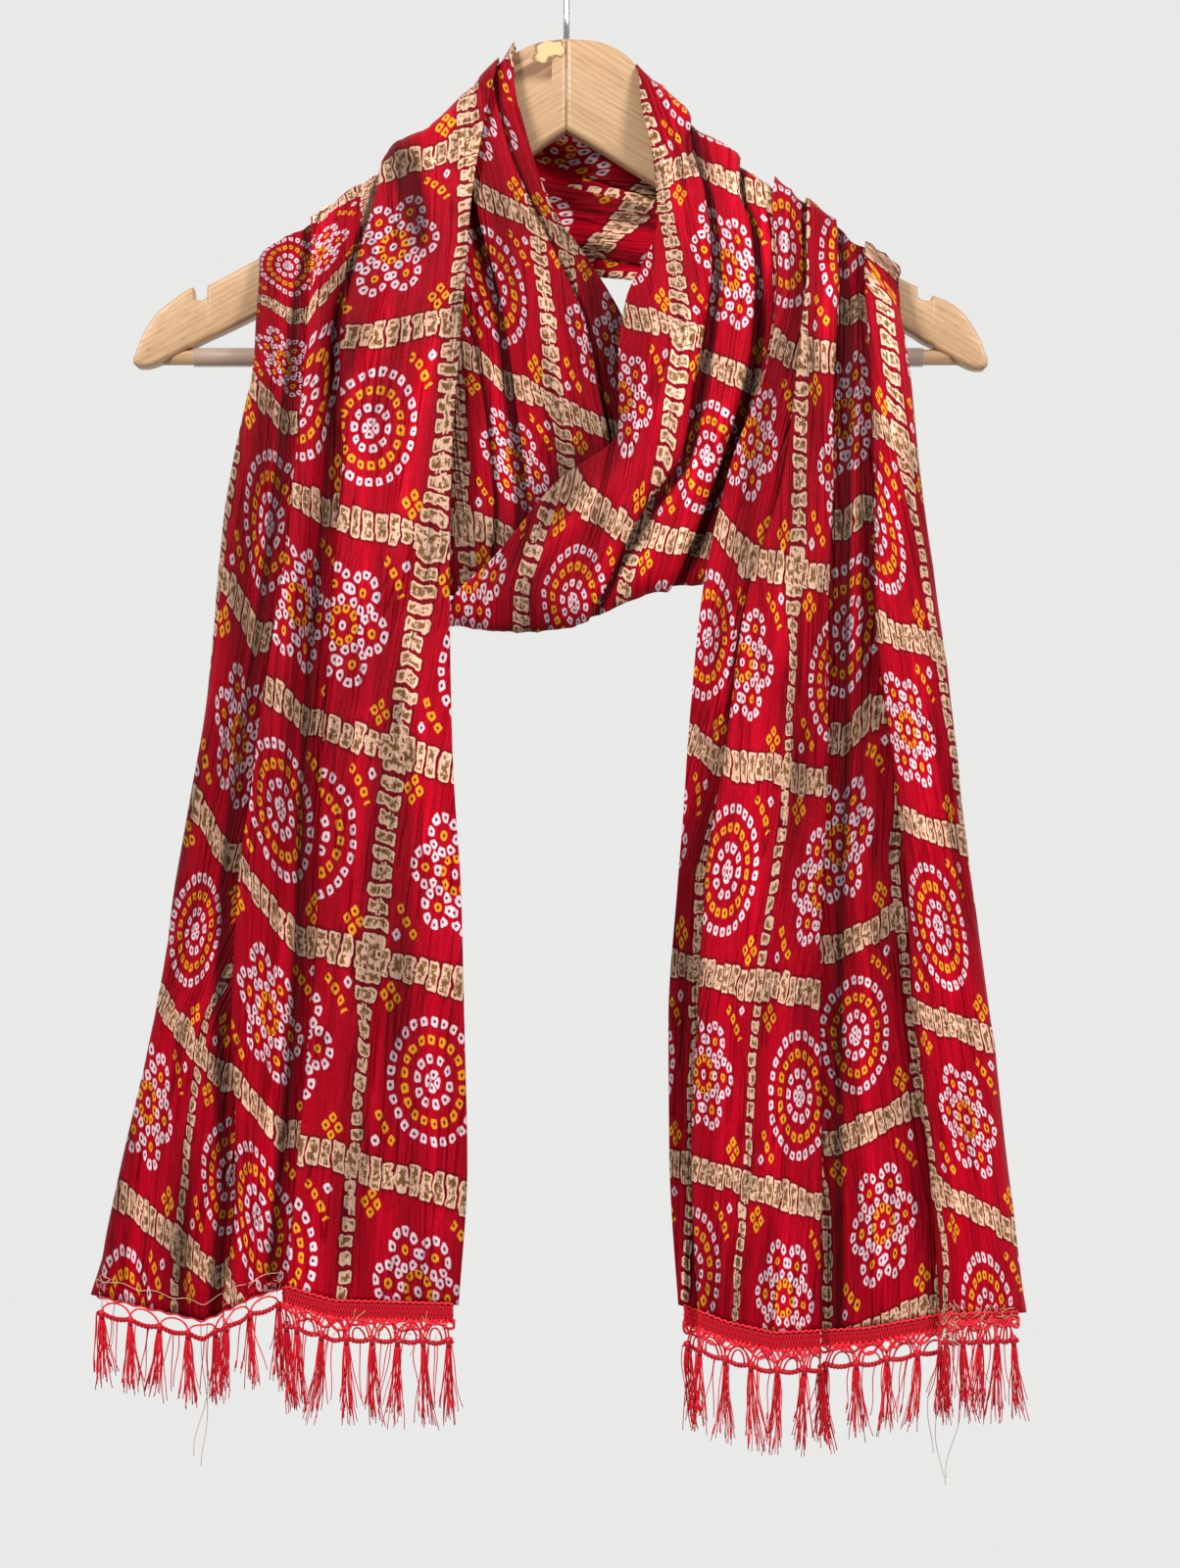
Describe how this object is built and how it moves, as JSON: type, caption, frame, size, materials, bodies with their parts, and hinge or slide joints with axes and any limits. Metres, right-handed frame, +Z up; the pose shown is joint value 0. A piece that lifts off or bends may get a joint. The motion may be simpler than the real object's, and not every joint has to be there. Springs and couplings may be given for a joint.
{
  "type": "dupatta stole wound on a wooden suit hanger",
  "caption": "Long crinkled stole with tasselled hem trims, wound round a wooden hanger into a neck loop with two hanging ends, on a wire hook.",
  "frame": {"origin": "inside top of the hanger's hook, where it rests on a rail", "axes": "+Z up along the hook's shank, +X towards the viewer's right along the hanger, the front of the stole towards -Y"},
  "size_m": [0.4742, 0.1047, 0.8204],
  "materials": {
    "cloth": "crinkled slub crepe with a soft sheen",
    "trim": "satin thread tape, chain and tassels",
    "oak": "satin lacquer",
    "dowel": "satin lacquer",
    "sleeve": "clear ribbed",
    "hook": "polished"
  },
  "bodies": {
    "root": {"left_tail": "cloth", "left_band": "cloth", "left_wrap": "cloth", "right_tail": "cloth", "right_band": "cloth", "right_wrap": "cloth", "left_outer_trim": "trim", "left_inner_trim": "trim", "right_outer_trim": "trim", "right_middle_trim": "trim", "right_inner_trim": "trim", "hanger_left_wing": "oak", "hanger_right_wing": "oak", "trouser_bar": "dowel", "bar_sleeve": "sleeve", "hanger_hook": "hook"}
  },
  "joints": []
}
